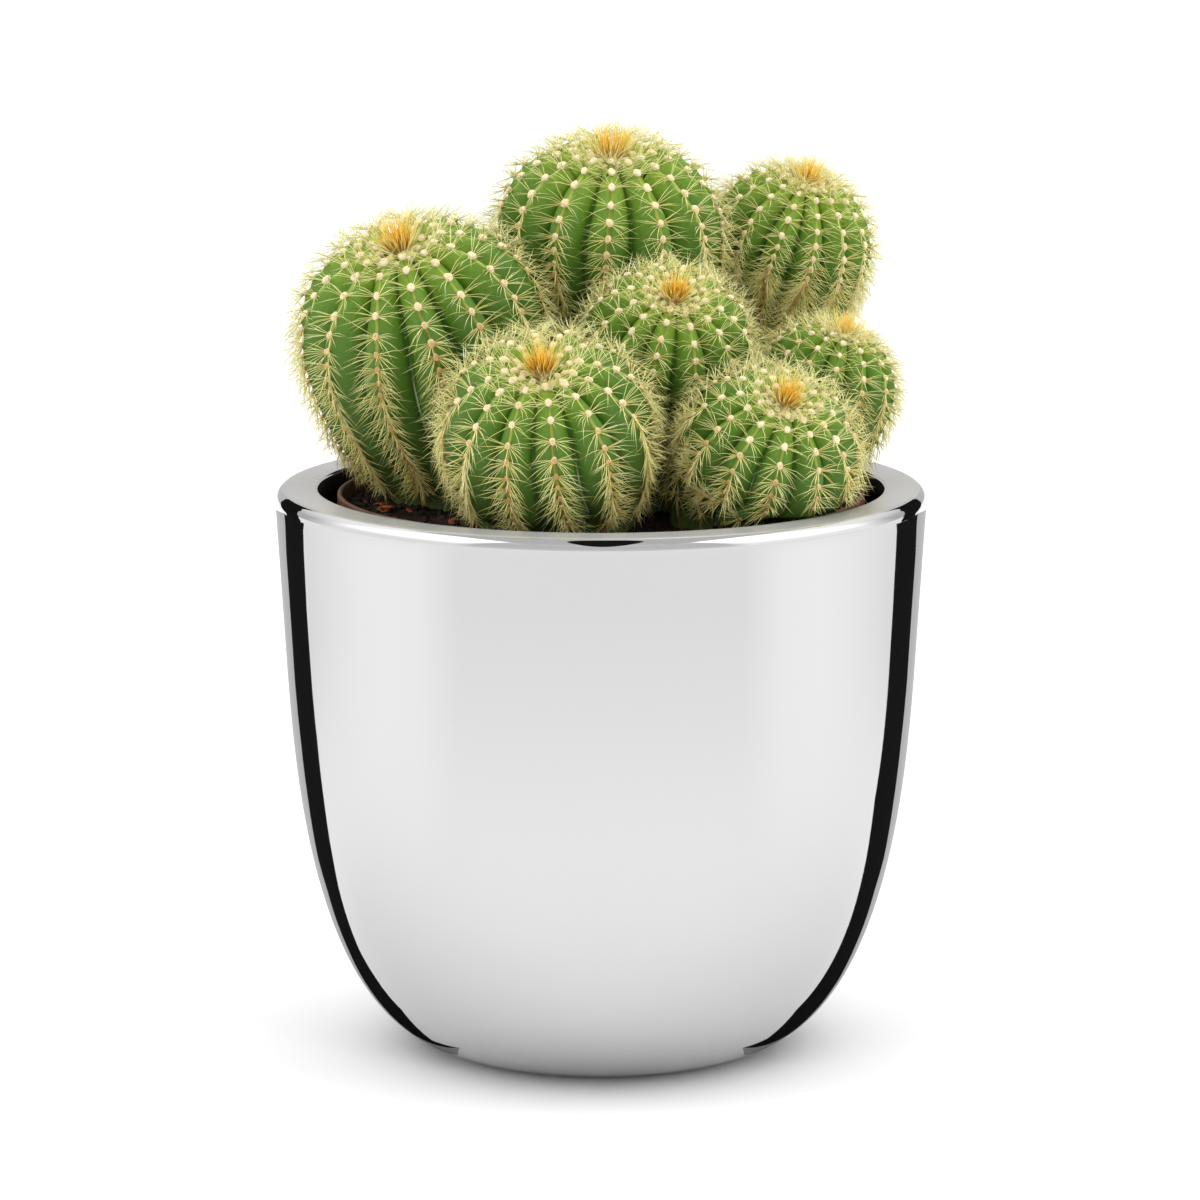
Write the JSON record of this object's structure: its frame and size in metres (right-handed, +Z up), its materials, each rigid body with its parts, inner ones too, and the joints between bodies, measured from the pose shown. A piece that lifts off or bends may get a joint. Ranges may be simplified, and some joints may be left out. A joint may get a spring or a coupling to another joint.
{
  "type": "potted eriocactus warasii",
  "caption": "Clump of ribbed, golden-spined globe cactus heads with woolly crowns, standing in soil in a nursery pot inside a polished steel planter with a broad flat rim.",
  "frame": {"origin": "centre of the planter's flat base, on the surface it stands on", "axes": "+Z up; -Y is the front, towards which the heads lean to the light; +X is to the right seen from the front"},
  "size_m": [0.2, 0.2, 0.2851],
  "materials": {
    "polished_steel": "mirror-polished stainless steel",
    "pot_plastic": "matt clay-coloured moulded plastic",
    "peat": "loose dark peat with bark chips",
    "cactus": "satin green skin with straw-yellow spines",
    "crown_wool": "cream plant wool with golden spines"
  },
  "bodies": {
    "root": {"planter": "polished_steel", "nursery_pot": "pot_plastic", "soil": "peat", "stem_1": "cactus", "stem_2": "cactus", "stem_3": "cactus", "stem_4": "cactus", "stem_5": "cactus", "stem_6": "cactus", "stem_7": "cactus", "crown_1": "crown_wool", "crown_2": "crown_wool", "crown_3": "crown_wool", "crown_4": "crown_wool", "crown_5": "crown_wool", "crown_6": "crown_wool", "crown_7": "crown_wool"}
  },
  "joints": []
}
